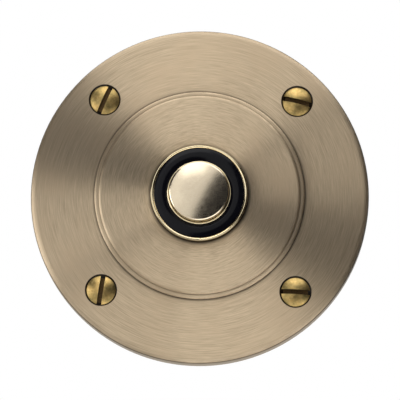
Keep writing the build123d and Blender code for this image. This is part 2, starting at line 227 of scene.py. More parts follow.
@dataclass(frozen=True)
class Finish:
    """A material with the marks that its making left on it.

    With the marks, its colour goes from dark to light and its roughness from the first value to the second.
    Patches of a patina may lie over the colour, painted shade with some patina in the corners over both,
    and a clear coat on top.
    """

    name: str
    light: str
    dark: str
    grain: Grain
    mark_mm: float
    roughness: tuple[float, float]
    bump_mm: float
    metallic: float = 1.0
    anisotropy: float = 0.0
    specular: float = 0.5
    patina: str = ""
    patina_mm: float = 1.0
    patina_reach: tuple[float, float] = (0.45, 0.75)
    marks_per_radian: float = 1.5
    length_ratio: float = 20.0
    coat: float = 0.0
    coat_roughness: float = 0.03
    shade_and_patina: ShadeAndPatina | None = None
    on_lathe: bool = False

    def make(self) -> bpy.types.Material:
        """Builds the material's nodes.

        Returns:
            The new material.
        """
        material = bpy.data.materials.new(self.name)
        material.use_nodes = True
        tree = material.node_tree
        tree.nodes.clear()
        place = add_node(tree, "ShaderNodeTexCoord", output="Object")
        drawn = self.along_marks(tree, place)
        marks = add_node(tree, "ShaderNodeTexNoise", {"Vector": drawn, **MARK_NOISE})
        tone = add_node(tree, "ShaderNodeMapRange", {"Value": marks, **MARK_SPAN})
        tones = {MIX_SHARE: tone, MIX_UNDER: linear(self.dark), MIX_OVER: linear(self.light)}
        colour = add_node(tree, "ShaderNodeMix", tones, MIX_RESULT, data_type="RGBA")
        if self.patina:
            colour = self.stained(tree, place, colour)
        # Painted shade, with some patina, in the corners and countersinks
        if self.shade_and_patina:
            colour = self.shade_and_patina.lay(tree, place, colour)
        smooth, rough = self.roughness
        sheen = {"Value": tone, "To Min": smooth, "To Max": rough}
        relief = {"Height": marks, "Strength": 1.0, "Distance": self.bump_mm * MM}
        if self.on_lathe:
            relief["Normal"] = self.lathe_normal(tree, place)
        surface = {
            "Base Color": colour,
            "Metallic": self.metallic,
            "Roughness": add_node(tree, "ShaderNodeMapRange", sheen),
            "Normal": add_node(tree, "ShaderNodeBump", relief),
            "Anisotropic": self.anisotropy,
            "Specular IOR Level": self.specular,
            "Coat Weight": self.coat,
            "Coat Roughness": self.coat_roughness,
        }
        if self.anisotropy:
            surface["Tangent"] = self.outward(tree, place)
        shader = add_node(tree, "ShaderNodeBsdfPrincipled", surface)
        add_node(tree, "ShaderNodeOutputMaterial", {"Surface": shader})
        return material

    def outward(self, tree: Tree, place: Socket) -> Socket:
        """Gives the unit vector away from the axis, across the circular marks."""
        flat = add_node(tree, "ShaderNodeVectorMath", {0: place, 1: IN_WALL}, operation="MULTIPLY")
        return add_node(tree, "ShaderNodeVectorMath", {0: flat}, operation="NORMALIZE")

    def lathe_normal(self, tree: Tree, place: Socket) -> Socket:
        """Takes off the normal's part along the turning, which a turned face doesn't have.

        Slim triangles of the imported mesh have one, and would sparkle in the rounded rims.

        Args:
            tree: Tree that takes the nodes.
            place: Object coordinates.
        Returns:
            Unit vector socket.
        """
        normal = add_node(tree, "ShaderNodeNewGeometry", output="Normal")
        along = add_node(tree, "ShaderNodeVectorMath", {0: place, 1: INTO_WALL}, operation="CROSS_PRODUCT")
        extra = add_node(tree, "ShaderNodeVectorMath", {0: normal, 1: along}, operation="PROJECT")
        square = add_node(tree, "ShaderNodeVectorMath", {0: normal, 1: extra}, operation="SUBTRACT")
        return add_node(tree, "ShaderNodeVectorMath", {0: square}, operation="NORMALIZE")

    def along_marks(self, tree: Tree, place: Socket) -> Socket:
        """Stretches the pattern's coordinates so that it runs with the marks.

        Args:
            tree: Tree that takes the nodes.
            place: Object coordinates.
        Returns:
            Vector socket whose unit is one mark.
        """
        per_mark = 1 / (self.mark_mm * MM)
        if self.grain is not Grain.ROUND:
            per_length = per_mark / self.length_ratio if self.grain is Grain.ALONG else per_mark
            stretched = {0: place, 1: (per_length, per_mark, per_mark)}
            return add_node(tree, "ShaderNodeVectorMath", stretched, operation="MULTIPLY")
        away = self.outward(tree, place)
        spoke = {0: place, 1: away}
        radius = add_node(tree, "ShaderNodeVectorMath", spoke, "Value", operation="DOT_PRODUCT")
        depth = add_node(tree, "ShaderNodeSeparateXYZ", {0: place}, "Y")
        path = add_node(tree, "ShaderNodeMath", {0: radius, 1: depth}, operation="SUBTRACT")
        across = add_node(tree, "ShaderNodeMath", {0: path, 1: per_mark}, operation="MULTIPLY")
        step = add_node(tree, "ShaderNodeCombineXYZ", {"Y": across})
        spread = {0: away, "Scale": self.marks_per_radian}
        around = add_node(tree, "ShaderNodeVectorMath", spread, operation="SCALE")
        return add_node(tree, "ShaderNodeVectorMath", {0: around, 1: step}, operation="ADD")

    def stained(self, tree: Tree, place: Socket, colour: Socket) -> Socket:
        """Lays uneven patches of the patina's colour over the metal.

        Args:
            tree: Tree that takes the nodes.
            place: Object coordinates.
            colour: Colour of the clean surface.
        Returns:
            Colour socket with the patches.
        """
        grown = {"Vector": place, "Scale": 1 / (self.patina_mm * MM), **STAIN_NOISE}
        cloud = add_node(tree, "ShaderNodeTexNoise", grown)
        none, full = self.patina_reach
        share = add_node(tree, "ShaderNodeMapRange", {"Value": cloud, "From Min": none, "From Max": full})
        tones = {MIX_SHARE: share, MIX_UNDER: colour, MIX_OVER: linear(self.patina)}
        return add_node(tree, "ShaderNodeMix", tones, MIX_RESULT, data_type="RGBA")


# Antique brass, circular brushed and lacquered: a warm grey-gold whose light fans out across the brushing.
# The real lines are some hundredths of a millimetre apart and are drawn coarser, so that they show.
ROSE_BRASS = Finish(
    name="antique_brass_circular_brushed",
    light="#d3bfa1",
    dark="#ae9b80",
    grain=Grain.ROUND,
    mark_mm=0.2,
    roughness=(0.46, 0.5),
    bump_mm=0.001,
    anisotropy=1.0,
    patina="#c5af91",
    patina_mm=14.0,
    marks_per_radian=6.0,
    coat=0.35,
    coat_roughness=0.3,
    # Painted shade, partly antique patina: dark rings at the bezel's foot, the feet of the two steps, the
    # rim and in the countersinks
    shade_and_patina=ShadeAndPatina(
        corners=(
            Corner(10.9, 0.8, 1.0),
            Corner(22.6, 0.3, 0.4),
            Corner(23.6, 0.5, 0.8),
            Corner(37.8, 0.6, 0.8),
        )
    ),
    on_lathe=True,
)
# Polished turned brass: clean yellow reflections with faint turning lines, and a painted dark line round
# the outer edge of the bezel, standing in for a dark reflection and shade there.
POLISHED_BRASS = Finish(
    name="yellow_brass_polished",
    light="#efe0bd",
    dark="#e3d0a6",
    grain=Grain.ROUND,
    mark_mm=0.2,
    roughness=(0.06, 0.1),
    bump_mm=0.0004,
    shade_and_patina=ShadeAndPatina(corners=(Corner(10.65, 0.5, 0.8),)),
    on_lathe=True,
)
# Drawn brass cap, polished pale: soft wide reflections that run from white to dark over the dome.
BUTTON_BRASS = Finish(
    name="pale_brass_polished",
    light="#d7c9b0",
    dark="#d1c2a9",
    grain=Grain.EVEN,
    mark_mm=0.8,
    roughness=(0.17, 0.21),
    bump_mm=0.0003,
)
# Black phenolic, moulded in a polished tool: almost no colour of its own, and a low gloss.
BLACK_PHENOLIC = Finish(
    name="black_phenolic_moulded",
    light="#0b0b10",
    dark="#07070b",
    grain=Grain.EVEN,
    mark_mm=0.6,
    roughness=(0.1, 0.16),
    bump_mm=0.0004,
    metallic=0.0,
    specular=0.15,
)
# Brass wood screws, handled and dulled: yellower than the rose, with olive stains.
SCREW_BRASS = Finish(
    name="screw_brass_handled",
    light="#c8ab70",
    dark="#b09158",
    grain=Grain.EVEN,
    mark_mm=0.5,
    roughness=(0.32, 0.4),
    bump_mm=0.0015,
    patina="#6e6540",
    patina_mm=2.2,
    patina_reach=(0.38, 0.72),
)
# The sawn slot of a brass screw, brown with tarnish and old lacquer, and darkened further with painted
# shade in its recess.
SLOT_SHADE_AND_TARNISH = Finish(
    name="screw_slot_tarnished",
    light="#5a4320",
    dark="#33250f",
    grain=Grain.EVEN,
    mark_mm=0.3,
    roughness=(0.45, 0.6),
    bump_mm=0.004,
    metallic=0.7,
)
# Natural nylon, moulded: milky, slightly waxy.
NATURAL_NYLON = Finish(
    name="natural_nylon_moulded",
    light="#ddd7c6",
    dark="#cfc8b4",
    grain=Grain.EVEN,
    mark_mm=0.7,
    roughness=(0.35, 0.45),
    bump_mm=0.002,
    metallic=0.0,
)
# Spring steel, drawn and hardened: grey with a fine even sheen.
SPRING_STEEL = Finish(
    name="spring_steel_drawn",
    light="#b4b5b8",
    dark="#8c8d91",
    grain=Grain.EVEN,
    mark_mm=0.25,
    roughness=(0.24, 0.34),
    bump_mm=0.001,
)
# Rolled brass strip: long faint lines with the rolling, warm and a little dull.
STRIP_BRASS = Finish(
    name="brass_strip_rolled",
    light="#d3ad68",
    dark="#b48f4f",
    grain=Grain.ALONG,
    mark_mm=0.15,
    roughness=(0.24, 0.36),
    bump_mm=0.001,
)
# Black phenolic with filler, moulded in a plain tool: matt, with a fine even grain.
MATT_PHENOLIC = Finish(
    name="black_phenolic_matt",
    light="#242120",
    dark="#171514",
    grain=Grain.EVEN,
    mark_mm=0.35,
    roughness=(0.42, 0.58),
    bump_mm=0.006,
    metallic=0.0,
)
# Zinc-plated steel: bright cool grey with faint straw-coloured clouds.
ZINC_STEEL = Finish(
    name="steel_zinc_plated",
    light="#cdd0d4",
    dark="#b3b6bc",
    grain=Grain.EVEN,
    mark_mm=0.3,
    roughness=(0.22, 0.32),
    bump_mm=0.001,
    patina="#c5bb9a",
    patina_mm=2.5,
)
# Brass nut turned from hexagon bar: concentric tool lines on its faces.
NUT_BRASS = Finish(
    name="nut_brass_machined",
    light="#d6b56e",
    dark="#b8974f",
    grain=Grain.ROUND,
    mark_mm=0.25,
    roughness=(0.2, 0.32),
    bump_mm=0.002,
)
# Pale wall paint, rolled on the studio floor: matt, with slow clouds of tone.
FLOOR_PAINT = Finish(
    name="floor_pale_paint",
    light="#f4f3f0",
    dark="#f2f1ee",
    grain=Grain.EVEN,
    mark_mm=40.0,
    roughness=(0.7, 0.8),
    bump_mm=0.0,
    metallic=0.0,
)
FINISHES = {
    Slot.ANTIQUE_BRASS: ROSE_BRASS,
    Slot.SCREW_BRASS: SCREW_BRASS,
    Slot.POLISHED_BRASS: POLISHED_BRASS,
    Slot.BLACK_MOULDING: BLACK_PHENOLIC,
    Slot.BUTTON_METAL: BUTTON_BRASS,
    Slot.NATURAL_NYLON: NATURAL_NYLON,
    Slot.SPRING_STEEL: SPRING_STEEL,
    Slot.CONTACT_METAL: STRIP_BRASS,
    Slot.BASE_MOULDING: MATT_PHENOLIC,
    Slot.PLATED_STEEL: ZINC_STEEL,
    Slot.NUT_BRASS: NUT_BRASS,
}


class Palette:
    """The finished materials, one for each slot, and the nodes that take them."""

    def __init__(self, finishes: dict[Slot, Finish]) -> None:
        """Makes a material of each slot's finish, and notes the slot of each node."""
        self.made = {slot: finish.make() for slot, finish in finishes.items()}
        self.slots = {part["node"]: Slot(part["material_slot"]) for part in frame["record"]["subparts"]}

    def dress(self, node: str) -> None:
        """Lays its slot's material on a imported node.

        Args:
            node: Name of the node.
        """
        material = self.made[self.slots[node]]
        frame["nodes"][node].data.materials[0] = material
        log.info("%s dressed in %s", node, material.name)


def levels(node: str) -> tuple[float, float]:
    """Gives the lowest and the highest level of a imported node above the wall.

    Args:
        node: Name of the node.
    Returns:
        Lowest and highest level, in metres.
    """
    low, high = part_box(node)
    return -high.y, -low.y


def clean(mesh: bpy.types.Mesh) -> None:
    """Merges doubles, turns faces outwards and shades the mesh smooth up to sharp edges.

    Args:
        mesh: Mesh to clean.
    """
    work = bmesh.new()
    work.from_mesh(mesh)
    bmesh.ops.remove_doubles(work, verts=work.verts, dist=MERGED)
    bmesh.ops.recalc_face_normals(work, faces=work.faces)
    for face in work.faces:
        face.smooth = True
    for edge in work.edges:
        edge.smooth = edge.calc_face_angle(math.pi) < SHARP
    work.to_mesh(mesh)
    work.free()


def arc(
    centre: tuple[float, float], radius: float, first: float, last: float, steps: int
) -> list[tuple[float, float]]:
    """Gives points on an arc of a lathe outline.

    Args:
        centre: Radius and level of the arc's centre.
        radius: Radius of the arc.
        first: Angle of the first point, in radians from the outward direction.
        last: Angle of the last point.
        steps: Steps between the two.
    Returns:
        Radius and level of each point.
    """
    angles = [first + (last - first) * step / steps for step in range(steps + 1)]
    return [(centre[0] + radius * math.cos(a), centre[1] + radius * math.sin(a)) for a in angles]


def turned(name: str, outline: list[tuple[float, float]], steps: int) -> bpy.types.Mesh:
    """Spins an open outline, from axis to axis, about the z axis.

    Args:
        name: Name of the mesh.
        outline: Radius and level of each point, in metres.
        steps: Faces in a full turn.
    Returns:
        The closed mesh.
    """
    work = bmesh.new()
    points = [work.verts.new((radius, 0.0, level)) for radius, level in outline]
    edges = [work.edges.new(pair) for pair in zip(points, points[1:])]
    bmesh.ops.spin(
        work,
        geom=points + edges,
        axis=(0, 0, 1),
        cent=(0, 0, 0),
        angle=math.tau,
        steps=steps,
        use_merge=True,
    )
    mesh = bpy.data.meshes.new(name)
    work.to_mesh(mesh)
    work.free()
    clean(mesh)
    return mesh


class GeometryTree:
    """A geometry node tree with named inputs, run once to give a plain mesh."""

    def __init__(self, name: str) -> None:
        """Starts an empty tree.

        Args:
            name: Name of the tree.
        """
        self.tree = bpy.data.node_groups.new(name, "GeometryNodeTree")
        self.tree.interface.new_socket("Geometry", in_out="INPUT", socket_type="NodeSocketGeometry")
        self.tree.interface.new_socket("Geometry", in_out="OUTPUT", socket_type="NodeSocketGeometry")
        self.start = self.tree.nodes.new("NodeGroupInput")

    def takes(self, name: str, kind: Kind = Kind.SIZE) -> Socket:
        """Adds a named input, and gives the socket of its value inside the tree."""
        self.tree.interface.new_socket(name, in_out="INPUT", socket_type=kind.value)
        return self.start.outputs[name]

    def add(
        self, kind: str, inputs: Inputs | None = None, output: str | int = 0, **settings: object
    ) -> Socket | None:
        """Adds a node, as add_node says."""
        return add_node(self.tree, kind, inputs, output, **settings)

    def face_front(self, geometry: Socket, kept: Socket | None = None) -> None:
        """Turns the geometry so that its z axis comes out of the wall, and ends the tree.

        Args:
            geometry: Finished geometry.
            kept: Material whose faces keep it, while all others get the input named Material.
        """
        front = self.add("GeometryNodeTransform", {"Geometry": geometry, "Rotation": FACE_FRONT})
        whole = self.add("GeometryNodeRealizeInstances", {"Geometry": front})
        inputs = {"Geometry": whole, "Material": self.takes("Material", Kind.MATERIAL)}
        if kept:
            held = self.add("GeometryNodeMaterialSelection", {"Material": kept})
            inputs["Selection"] = self.add("FunctionNodeBooleanMath", {0: held}, operation="NOT")
        self.add("NodeGroupOutput", {0: self.add("GeometryNodeSetMaterial", inputs)})

    def run(self, seed: bpy.types.Mesh, values: dict[str, object]) -> bpy.types.Mesh:
        """Evaluates the tree once.

        Args:
            seed: Mesh that the tree starts from.
            values: Value of each named input.
        Returns:
            The result as a plain mesh.
        """
        carrier = bpy.data.objects.new(self.tree.name, seed)
        bpy.context.scene.collection.objects.link(carrier)
        modifier = carrier.modifiers.new(self.tree.name, "NODES")
        modifier.node_group = self.tree
        for item in self.tree.interface.items_tree:
            if item.in_out == "INPUT" and item.name in values:
                modifier[item.identifier] = values[item.name]
        evaluated = carrier.evaluated_get(bpy.context.evaluated_depsgraph_get())
        mesh = bpy.data.meshes.new_from_object(evaluated)
        bpy.data.objects.remove(carrier)
        clean(mesh)
        return mesh


class HelixTree(GeometryTree):
    """A tree with a right-handed helix about the z axis, and the sections swept along it."""

    # Share of its size that a ridge keeps where it runs out
    END_SHARE: ClassVar[float] = 0.05

    def path(self, pointed: bool = False) -> tuple[Socket, Socket, Socket | None]:
        """Adds the helix, with named inputs for its sizes.

        Args:
            pointed: Whether the lower end tapers to a point.
        Returns:
            The curve, the turns done along it, and the share of its radius left, if it is pointed.
        """
        line = self.add("GeometryNodeCurvePrimitiveLine")
        samples = self.takes("Samples", Kind.COUNT)
        line = self.add("GeometryNodeResampleCurve", {"Curve": line, "Count": samples})
        share = self.add("GeometryNodeSplineParameter", output="Factor")
        done = self.add("ShaderNodeMath", {0: share, 1: self.takes("Turns")}, operation="MULTIPLY")
        span = {"To Min": self.takes("Bottom"), "To Max": self.takes("Top")}
        level = self.add("ShaderNodeMapRange", {"Value": share, **span})
        radius, slim = self.takes("Radius"), None
        if pointed:
            above = self.add("ShaderNodeMath", {0: level, 1: self.takes("Point")}, operation="SUBTRACT")
            slim = self.add("ShaderNodeMapRange", {"Value": above, "From Max": self.takes("Point Length")})
            radius = self.add("ShaderNodeMath", {0: radius, 1: slim}, operation="MULTIPLY")
        spoke = self.add("ShaderNodeCombineXYZ", {"X": radius, "Z": level})
        angle = self.add("ShaderNodeMath", {0: done, 1: math.tau}, operation="MULTIPLY")
        wound = {"Vector": spoke, "Angle": angle}
        place = self.add("ShaderNodeVectorRotate", wound, rotation_type="Z_AXIS")
        curve = self.add("GeometryNodeSetPosition", {"Geometry": line, "Position": place})
        return self.add("GeometryNodeSetCurveNormal", {"Curve": curve}, mode="Z_UP"), done, slim

    def ridge(self, pointed: bool = False) -> Socket:
        """Adds a screw thread's ridge, with a flat crest and a base that is sunk in its core.

        Args:
            pointed: Whether the lower end tapers to a point.
        Returns:
            The closed ridge.
        """
        curve, done, slim = self.path(pointed)
        turns = self.start.outputs["Turns"]
        left = self.add("ShaderNodeMath", {0: turns, 1: done}, operation="SUBTRACT")
        nearest_end = self.add("ShaderNodeMath", {0: done, 1: left}, operation="MINIMUM")
        fading = {"From Max": self.takes("Run Out Turns"), "To Min": self.END_SHARE}
        size = self.add("ShaderNodeMapRange", {"Value": nearest_end, **fading})
        if slim:
            size = self.add("ShaderNodeMath", {0: size, 1: slim}, operation="MULTIPLY")
        crest_out, base_out = self.takes("Crest Height"), self.takes("Base Height")
        crest, base = self.takes("Half Crest"), self.takes("Half Base")
        corners = {}
        outline = (
            (base_out, base, 1.0),
            (crest_out, crest, 1.0),
            (crest_out, crest, -1.0),
            (base_out, base, -1.0),
        )
        for place, (out, half, side) in enumerate(outline, start=1):
            along = self.add("ShaderNodeMath", {0: half, 1: side}, operation="MULTIPLY")
            corners[f"Point {place}"] = self.add("ShaderNodeCombineXYZ", {"X": out, "Y": along})
        section = self.add("GeometryNodeCurvePrimitiveQuadrilateral", corners, mode="POINTS")
        swept = {"Curve": curve, "Profile Curve": section, "Scale": size, "Fill Caps": True}
        return self.add("GeometryNodeCurveToMesh", swept)


class ThreadTree(HelixTree):
    """The thread of a barrel, as a ridge to lay on it."""

    def __init__(self, name: str) -> None:
        """Builds the tree."""
        super().__init__(name)
        self.face_front(self.ridge())


class CoilTree(HelixTree):
    """A coil spring of round wire with its two ends ground flat."""

    def __init__(self, name: str) -> None:
        """Builds the tree.

        Args:
            name: Name of the tree.
        """
        super().__init__(name)
        curve, *_ = self.path()
        wire = {"Resolution": self.takes("Wire Faces", Kind.COUNT), "Radius": self.takes("Wire Radius")}
        section = self.add("GeometryNodeCurvePrimitiveCircle", wire)
        swept = {"Curve": curve, "Profile Curve": section, "Fill Caps": True}
        coil = self.add("GeometryNodeCurveToMesh", swept)
        apart = self.add("ShaderNodeSeparateXYZ", {0: self.add("GeometryNodeInputPosition")}, output="Z")
        bottom, top = self.start.outputs["Bottom"], self.start.outputs["Top"]
        ground = self.add("ShaderNodeClamp", {"Value": apart, "Min": bottom, "Max": top})
        lift = self.add("ShaderNodeMath", {0: ground, 1: apart}, operation="SUBTRACT")
        shift = self.add("ShaderNodeCombineXYZ", {"Z": lift})
        self.face_front(self.add("GeometryNodeSetPosition", {"Geometry": coil, "Offset": shift}))


class ScrewTree(HelixTree):
    """Slotted wood screws, one on each point of the seed, turned by the point's own slot angle."""

    TURN: ClassVar[str] = "slot_turn"

    def __init__(self, name: str) -> None:
        """Builds the tree.

        Args:
            name: Name of the tree.
        """
        super().__init__(name)
        blank = {"Object": self.takes("Blank", Kind.OBJECT)}
        shapes = [self.add("GeometryNodeObjectInfo", blank, output="Geometry"), self.ridge(pointed=True)]
        whole = self.add("GeometryNodeMeshBoolean", {"Mesh 2": shapes}, operation="UNION", solver="EXACT")
        length, width, depth = self.takes("Saw Length"), self.takes("Slot Width"), self.takes("Saw Depth")
        saw = self.add("ShaderNodeCombineXYZ", {"X": length, "Y": width, "Z": depth})
        saw = self.add("GeometryNodeMeshCube", {"Size": saw})
        raised = self.add("ShaderNodeCombineXYZ", {"Z": self.takes("Saw Level")})
        saw = self.add("GeometryNodeTransform", {"Geometry": saw, "Translation": raised})
        sawn = self.takes("Slot Material", Kind.MATERIAL)
        saw = self.add("GeometryNodeSetMaterial", {"Geometry": saw, "Material": sawn})
        cut = {"Mesh 1": whole, "Mesh 2": saw}
        slotted = self.add("GeometryNodeMeshBoolean", cut, operation="DIFFERENCE", solver="EXACT")
        turn = self.add("GeometryNodeInputNamedAttribute", {"Name": self.TURN}, data_type="FLOAT")
        turn = self.add("ShaderNodeCombineXYZ", {"Z": turn})
        turn = self.add("FunctionNodeEulerToRotation", {"Euler": turn})
        screws = {"Points": self.start.outputs["Geometry"], "Instance": slotted, "Rotation": turn}
        self.face_front(self.add("GeometryNodeInstanceOnPoints", screws), kept=sawn)


@dataclass
class SubAssembly:
    """A group of pieces that are fitted together on the bench."""

    palette: Palette
    nodes: ClassVar[tuple[str, ...]] = ()

    def build(self) -> None:
        """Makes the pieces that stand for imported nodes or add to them."""

    def dress(self) -> None:
        """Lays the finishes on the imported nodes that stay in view."""
        for node in self.nodes:
            self.palette.dress(node)

    def add_piece(
        self, name: str, mesh: bpy.types.Mesh, body: Body, slot: Slot, replaced: str = ""
    ) -> bpy.types.Object:
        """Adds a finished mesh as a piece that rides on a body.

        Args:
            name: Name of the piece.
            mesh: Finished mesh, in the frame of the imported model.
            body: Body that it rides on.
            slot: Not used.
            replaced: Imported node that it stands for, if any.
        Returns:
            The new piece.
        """
        mesh.name = name
        piece = bpy.data.objects.new(name, mesh)
        bpy.context.scene.collection.objects.link(piece)
        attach(piece, body.value)
        if replaced:
            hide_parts(replaced)
        log.info("%s built, %d faces", name, len(mesh.polygons))
        return piece


@dataclass
class Rose(SubAssembly):
    """The turned and brushed brass plate."""

    nodes: ClassVar[tuple[str, ...]] = ("face_plate",)


@dataclass
class WoodScrews(SubAssembly):
    """Four slotted raised countersunk wood screws with a cut thread and a gimlet point."""

    head_radius: float = 3.25 * MM
    head_raise: float = 0.75 * MM
    neck_radius: float = 1.3 * MM
    core_radius: float = 1.15 * MM
    thread_radius: float = 1.75 * MM
    pitch: float = 1.7 * MM
    half_crest: float = 0.07 * MM
    half_base: float = 0.45 * MM
    sunk: float = 0.15 * MM
    tip_length: float = 3.5 * MM
    run_out_turns: float = 0.8
    slot_width: float = 1.05 * MM
    slot_depth: float = 1.2 * MM
    slot_degrees: tuple[float, ...] = (-13.0, 67.0, 82.0, -2.5)
    first_degrees: float = 45.0
    head_steps: int = 12
    lathe_steps: int = 96
    samples_per_turn: int = 40

    def build(self) -> None:
        """Makes the screws and puts them in the rose's four holes."""
        tip, top = levels("fixing_screws")
        shoulder = tip + self.tip_length
        blank = bpy.data.objects.new("screw_blank", self.blank(top, tip, shoulder))
        bpy.context.scene.collection.objects.link(blank)
        turns = -tip / self.pitch
        # The saw is longer than the head is wide and stands out of the slot
        saw_length = 3 * self.head_radius
        saw_depth = 2 * self.slot_depth
        tree = ScrewTree("wood_screw")
        screws = tree.run(
            self.places(),
            {
                "Blank": blank,
                "Samples": round(turns * self.samples_per_turn),
                "Turns": turns,
                "Bottom": tip,
                "Top": 0.0,
                "Radius": self.core_radius,
                "Run Out Turns": self.run_out_turns,
                "Point": tip,
                "Point Length": self.tip_length,
                "Crest Height": self.thread_radius - self.core_radius,
                "Base Height": -self.sunk,
                "Half Crest": self.half_crest,
                "Half Base": self.half_base,
                "Saw Length": saw_length,
                "Slot Width": self.slot_width,
                "Saw Depth": saw_depth,
                "Saw Level": top - self.slot_depth + saw_depth / 2,
                # The slot's dark colour is painted shade in the recess as well as tarnish
                "Slot Material": SLOT_SHADE_AND_TARNISH.make(),
                "Material": self.palette.made[Slot.SCREW_BRASS],
            },
        )
        bpy.data.objects.remove(blank)
        self.add_piece("wood_screws", screws, Body.ROSE, Slot.SCREW_BRASS, "fixing_screws")

    def blank(self, top: float, tip: float, shoulder: float) -> bpy.types.Mesh:
        """Turns one screw before its slot is sawn and its thread is cut.

        Args:
            top: Level of the top of the head.
            tip: Level of the point.
            shoulder: Level where the point begins.
        Returns:
            The blank, on the z axis.
        """
        rim = top - self.head_raise
        ball = (self.head_radius**2 + self.head_raise**2) / (2 * self.head_raise)
        spread = math.asin(self.head_radius / ball)
        head = arc((0.0, top - ball), ball, math.pi / 2, math.pi / 2 - spread, self.head_steps)
        head[0] = (0.0, top)
        shank = [
            (self.neck_radius, rim - self.head_radius + self.neck_radius),
            (self.neck_radius, 0.0),
            (self.core_radius, self.core_radius - self.neck_radius),
            (self.core_radius, shoulder),
            (0.0, tip),
        ]
        return turned("screw_blank", head + shank, self.lathe_steps)

    def places(self) -> bpy.types.Mesh:
        """Marks the screws' places on their circle, with the angle of each slot.

        Returns:
            Mesh of bare points.
        """
        circle, count = SCREW_DIMS["pcd_mm"] / 2 * MM, SCREW_DIMS["count"]
        turns = [math.radians(self.first_degrees + 360 * place / count) for place in range(count)]
        points = [(circle * math.cos(turn), circle * math.sin(turn), 0.0) for turn in turns]
        mesh = bpy.data.meshes.new("screw_places")
        mesh.from_pydata(points, [], [])
        slots = mesh.attributes.new(ScrewTree.TURN, "FLOAT", "POINT")
        slots.data.foreach_set("value", [math.radians(angle) for angle in self.slot_degrees])
        return mesh


@dataclass
class PushInsert(SubAssembly):
    """The bezel, the moulded body with its guide, and the nut that holds them in the rose."""

    thread_root: float = 8.5 * MM
    thread_depth: float = 0.4 * MM
    pitch: float = 1.25 * MM
    half_crest: float = 0.14 * MM
    half_base: float = 0.5 * MM
    sunk: float = 0.1 * MM
    thread_top: float = 2.4 * MM
    thread_bottom: float = -6.2 * MM
    run_out_turns: float = 0.5
    samples_per_turn: int = 96
    nodes: ClassVar[tuple[str, ...]] = (
        "bezel_ring",
        "switch_body",
        "guide_bush",
        "lock_washer",
        "fixing_nut",
    )

    def build(self) -> None:
        """Makes the thread on the barrel."""
        turns = (self.thread_top - self.thread_bottom) / self.pitch
        tree = ThreadTree("barrel_thread")
        ridge = tree.run(
            bpy.data.meshes.new("barrel_thread"),
            {
                "Samples": round(turns * self.samples_per_turn),
                "Turns": turns,
                "Bottom": self.thread_bottom,
                "Top": self.thread_top,
                "Radius": self.thread_root,
                "Run Out Turns": self.run_out_turns,
                "Crest Height": self.thread_depth,
                "Base Height": -self.sunk,
                "Half Crest": self.half_crest,
                "Half Base": self.half_base,
                "Material": self.palette.made[Slot.BLACK_MOULDING],
            },
        )
        self.add_piece("barrel_thread", ridge, Body.ROSE, Slot.BLACK_MOULDING)


@dataclass
class Button(SubAssembly):
    """The drawn metal cap on its moulded plunger."""

    dome: float = 0.7 * MM
    edge_round: float = 0.5 * MM
    wall: float = 0.7 * MM
    dome_steps: int = 32
    edge_steps: int = 12
    lathe_steps: int = 192
    nodes: ClassVar[tuple[str, ...]] = ("plunger",)

    def build(self) -> None:
        """Makes the cap with an unbroken dome."""
        rim, top = levels("push_button")
        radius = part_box("push_button")[1].x
        edge = top - self.dome
        ball = (radius**2 + self.dome**2) / (2 * self.dome)
        centre = top - ball
        # The edge's rounding touches the side and the ball from inside
        corner_out = radius - self.edge_round
        corner_up = centre + math.sqrt((ball - self.edge_round) ** 2 - corner_out**2)
        lean = math.atan2(corner_up - centre, corner_out)
        outline = arc((0.0, centre), ball, math.pi / 2, lean, self.dome_steps)
        outline += arc((corner_out, corner_up), self.edge_round, lean, 0.0, self.edge_steps)[1:]
        bore = radius - self.wall
        ceiling = edge - self.wall
        outline += [(radius, rim), (bore, rim), (bore, ceiling), (0.0, ceiling)]
        outline[0] = (0.0, top)
        cap = turned("button_cap", outline, self.lathe_steps)
        cap.transform(FACE_FRONT.to_matrix().to_4x4())
        cap.materials.append(self.palette.made[Slot.BUTTON_METAL])
        self.add_piece("button_cap", cap, Body.BUTTON, Slot.BUTTON_METAL, "push_button")


@dataclass
class Contacts(SubAssembly):
    """The springs, contacts and terminals inside and behind the insert."""

    return_mean: float = 5.9 * MM
    return_wire: float = 0.6 * MM
    return_turns: int = 6
    bridge_mean: float = 1.68 * MM
    bridge_wire: float = 0.36 * MM
    bridge_turns: int = 5
    samples_per_turn: int = 64
    wire_faces: int = 20
    nodes: ClassVar[tuple[str, ...]] = (
        "retaining_clip",
        "contact_bridge",
        "contact_strip_left",
        "contact_strip_right",
        "terminal_base",
        "terminal_insert_left",
        "terminal_insert_right",
        "terminal_washers",
        "terminal_screws",
    )

    def build(self) -> None:
        """Winds the two springs, and gives the larger one a mesh of its own."""
        self.wind(
            "contact_coil",
            self.bridge_mean,
            self.bridge_wire,
            self.bridge_turns,
            Body.BUTTON,
            "contact_spring",
        )
        coil = self.wind(
            "return_coil",
            self.return_mean,
            self.return_wire,
            self.return_turns,
            Body.ROSE,
            "return_spring",
        )
        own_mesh(coil)

    def wind(
        self, name: str, mean: float, wire: float, turns: int, body: Body, replaced: str
    ) -> bpy.types.Object:
        """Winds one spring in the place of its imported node.

        Args:
            name: Name of the piece.
            mean: Radius to the middle of the wire.
            wire: Thickness of the wire.
            turns: Number of turns.
            body: Body that it rides on.
            replaced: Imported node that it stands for.
        Returns:
            The new piece.
        """
        bottom, top = levels(replaced)
        coil = CoilTree(name).run(
            bpy.data.meshes.new(name),
            {
                "Samples": turns * self.samples_per_turn,
                "Turns": float(turns),
                "Bottom": bottom,
                "Top": top,
                "Radius": mean,
                "Wire Faces": self.wire_faces,
                "Wire Radius": wire / 2,
                "Material": self.palette.made[Slot.SPRING_STEEL],
            },
        )
        return self.add_piece(name, coil, body, Slot.SPRING_STEEL, replaced)


